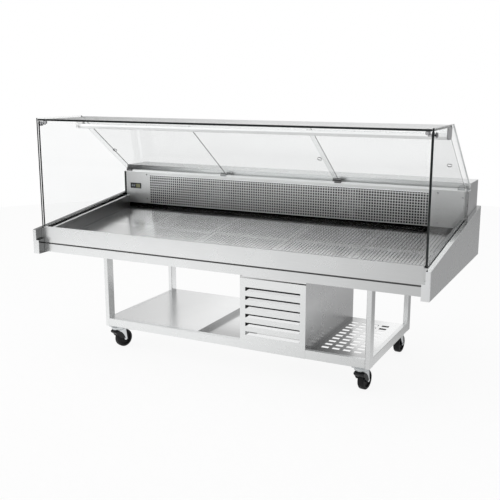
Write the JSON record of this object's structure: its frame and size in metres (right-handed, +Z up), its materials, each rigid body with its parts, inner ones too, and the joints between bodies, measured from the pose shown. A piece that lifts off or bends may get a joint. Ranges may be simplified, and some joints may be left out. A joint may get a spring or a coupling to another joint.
{
  "type": "refrigerated fish display case",
  "caption": "Refrigerated fish counter on casters with a glass canopy, sliding rear doors, sloping perforated deck, evaporator box and an under-mounted condensing unit.",
  "frame": {"origin": "on the floor under the middle of the case's outer box", "axes": "+X along the length to the right as a customer sees it, +Y from the customer's side to the server's side, +Z up"},
  "size_m": [2.2, 1.077, 1.293],
  "materials": {
    "stainless": "satin stainless sheet",
    "frame_steel": "satin stainless tube",
    "zinc": "zinc plated steel",
    "clear_glass": "clear float glass",
    "clear_panel": "clear sheet",
    "aluminium": "satin anodised",
    "coil_fins": "thin fins",
    "black_plastic": "matt black",
    "key_grey": "matt grey",
    "diffuser": "milky",
    "tyre": "matt black",
    "copper": "drawn copper",
    "black_steel": "black paint",
    "fan_blade": "matt dark grey",
    "bracket": "dark satin"
  },
  "bodies": {
    "case": {"base_legs": "frame_steel", "base_rails": "frame_steel", "base_floor": "stainless", "raised_tray": "stainless", "unit_grille": "stainless", "unit_side_left": "stainless", "unit_side_right": "stainless", "condenser_coil": "coil_fins", "condenser_motor": "black_steel", "compressor": "black_steel", "refrigerant_pipes": "copper", "insulated_tub": "stainless", "end_panel_left": "stainless", "end_panel_right": "stainless", "fascia_upper": "stainless", "fascia_lower": "stainless", "worktop": "stainless", "side_glass_left": "clear_glass", "side_glass_right": "clear_glass", "front_glass": "clear_glass", "top_glass": "clear_glass", "corner_clamps": "zinc", "door_track": "aluminium", "door_guide": "clear_panel", "lamp_bar": "aluminium", "lamp_diffuser": "diffuser", "lamp_brackets": "bracket", "evaporator_cover": "stainless", "evaporator_coil": "coil_fins", "evaporator_motors": "black_steel", "thermostat": "black_plastic", "caster_plates": "zinc"},
    "door_left": {"door_left": "clear_panel", "door_shoes_left": "black_plastic"},
    "door_middle": {"door_middle": "clear_panel", "door_shoes_middle": "black_plastic"},
    "door_right": {"door_right": "clear_panel", "door_shoes_right": "black_plastic"},
    "deck_plate_1": {"deck_plate_1": "stainless"},
    "deck_plate_2": {"deck_plate_2": "stainless"},
    "deck_plate_3": {"deck_plate_3": "stainless"},
    "deck_plate_4": {"deck_plate_4": "stainless"},
    "deck_plate_5": {"deck_plate_5": "stainless"},
    "thermostat_key_1": {"thermostat_key_1": "key_grey"},
    "thermostat_key_2": {"thermostat_key_2": "key_grey"},
    "condenser_fan": {"condenser_fan": "fan_blade"},
    "evaporator_fan_left": {"evaporator_fan_left": "fan_blade"},
    "evaporator_fan_right": {"evaporator_fan_right": "fan_blade"},
    "caster_fork_front_left": {"caster_fork_front_left": "zinc"},
    "caster_wheel_front_left": {"caster_wheel_front_left": "tyre"},
    "brake_pedal_front_left": {"brake_pedal_front_left": "black_plastic"},
    "caster_fork_front_right": {"caster_fork_front_right": "zinc"},
    "caster_wheel_front_right": {"caster_wheel_front_right": "tyre"},
    "brake_pedal_front_right": {"brake_pedal_front_right": "black_plastic"},
    "caster_fork_rear_left": {"caster_fork_rear_left": "zinc"},
    "caster_wheel_rear_left": {"caster_wheel_rear_left": "tyre"},
    "caster_fork_rear_right": {"caster_fork_rear_right": "zinc"},
    "caster_wheel_rear_right": {"caster_wheel_rear_right": "tyre"}
  },
  "joints": [
    {"name": "door_left_slide", "type": "slide", "parent": "case", "child": "door_left", "axis": [1, 0, 0], "range_m": [0, 0.34]},
    {"name": "door_middle_slide", "type": "slide", "parent": "case", "child": "door_middle", "axis": [1, 0, 0], "range_m": [-0.69, 0.69]},
    {"name": "door_right_slide", "type": "slide", "parent": "case", "child": "door_right", "axis": [1, 0, 0], "range_m": [-0.34, 0]},
    {"name": "deck_plate_1_lift", "type": "hinge", "parent": "case", "child": "deck_plate_1", "pos_m": [-0.83575, 0.3375, 0.69949], "axis": [-1, 0, 0], "range_deg": [0, 25]},
    {"name": "deck_plate_2_lift", "type": "hinge", "parent": "case", "child": "deck_plate_2", "pos_m": [-0.43325, 0.3375, 0.69949], "axis": [-1, 0, 0], "range_deg": [0, 25]},
    {"name": "deck_plate_3_lift", "type": "hinge", "parent": "case", "child": "deck_plate_3", "pos_m": [0, 0.3375, 0.69949], "axis": [-1, 0, 0], "range_deg": [0, 25]},
    {"name": "deck_plate_4_lift", "type": "hinge", "parent": "case", "child": "deck_plate_4", "pos_m": [0.43325, 0.3375, 0.69949], "axis": [-1, 0, 0], "range_deg": [0, 25]},
    {"name": "deck_plate_5_lift", "type": "hinge", "parent": "case", "child": "deck_plate_5", "pos_m": [0.83575, 0.3375, 0.69949], "axis": [-1, 0, 0], "range_deg": [0, 25]},
    {"name": "thermostat_key_1_press", "type": "slide", "parent": "case", "child": "thermostat_key_1", "axis": [0, 1, 0], "range_m": [0, 0.0008], "stiffness_N_per_m": 300, "springref_m": -0.001},
    {"name": "thermostat_key_2_press", "type": "slide", "parent": "case", "child": "thermostat_key_2", "axis": [0, 1, 0], "range_m": [0, 0.0008], "stiffness_N_per_m": 300, "springref_m": -0.001},
    {"name": "condenser_fan_spin", "type": "hinge", "parent": "case", "child": "condenser_fan", "pos_m": [0.2615, 0.3075, 0.24], "axis": [0, 1, 0], "continuous": true},
    {"name": "evaporator_fan_left_spin", "type": "hinge", "parent": "case", "child": "evaporator_fan_left", "pos_m": [-0.42, 0.3285, 0.818], "axis": [0, 1, 0], "continuous": true},
    {"name": "evaporator_fan_right_spin", "type": "hinge", "parent": "case", "child": "evaporator_fan_right", "pos_m": [0.42, 0.3285, 0.818], "axis": [0, 1, 0], "continuous": true},
    {"name": "caster_fork_front_left_swivel", "type": "hinge", "parent": "case", "child": "caster_fork_front_left", "pos_m": [-0.718, -0.3065, 0.124], "axis": [0, 0, 1], "continuous": true},
    {"name": "caster_wheel_front_left_roll", "type": "hinge", "parent": "caster_fork_front_left", "child": "caster_wheel_front_left", "pos_m": [-0.70718, -0.27321, 0.05], "axis": [-0.9511, 0.309, 0], "continuous": true},
    {"name": "brake_pedal_front_left_press", "type": "hinge", "parent": "caster_fork_front_left", "child": "brake_pedal_front_left", "pos_m": [-0.72047, -0.31411, 0.094], "axis": [-0.9511, 0.309, 0], "range_deg": [-12, 0]},
    {"name": "caster_fork_front_right_swivel", "type": "hinge", "parent": "case", "child": "caster_fork_front_right", "pos_m": [0.731, -0.3065, 0.124], "axis": [0, 0, 1], "continuous": true},
    {"name": "caster_wheel_front_right_roll", "type": "hinge", "parent": "caster_fork_front_right", "child": "caster_wheel_front_right", "pos_m": [0.73587, -0.27184, 0.05], "axis": [-0.9903, 0.1392, 0], "continuous": true},
    {"name": "brake_pedal_front_right_press", "type": "hinge", "parent": "caster_fork_front_right", "child": "brake_pedal_front_right", "pos_m": [0.72989, -0.31442, 0.094], "axis": [-0.9903, 0.1392, 0], "range_deg": [-12, 0]},
    {"name": "caster_fork_rear_left_swivel", "type": "hinge", "parent": "case", "child": "caster_fork_rear_left", "pos_m": [-0.718, 0.3015, 0.124], "axis": [0, 0, 1], "continuous": true},
    {"name": "caster_wheel_rear_left_roll", "type": "hinge", "parent": "caster_fork_rear_left", "child": "caster_wheel_rear_left", "pos_m": [-0.71192, 0.33597, 0.05], "axis": [-0.9848, 0.1736, 0], "continuous": true},
    {"name": "caster_fork_rear_right_swivel", "type": "hinge", "parent": "case", "child": "caster_fork_rear_right", "pos_m": [0.731, 0.3015, 0.124], "axis": [0, 0, 1], "continuous": true},
    {"name": "caster_wheel_rear_right_roll", "type": "hinge", "parent": "caster_fork_rear_right", "child": "caster_wheel_rear_right", "pos_m": [0.73405, 0.33637, 0.05], "axis": [-0.9962, 0.0872, 0], "continuous": true}
  ]
}
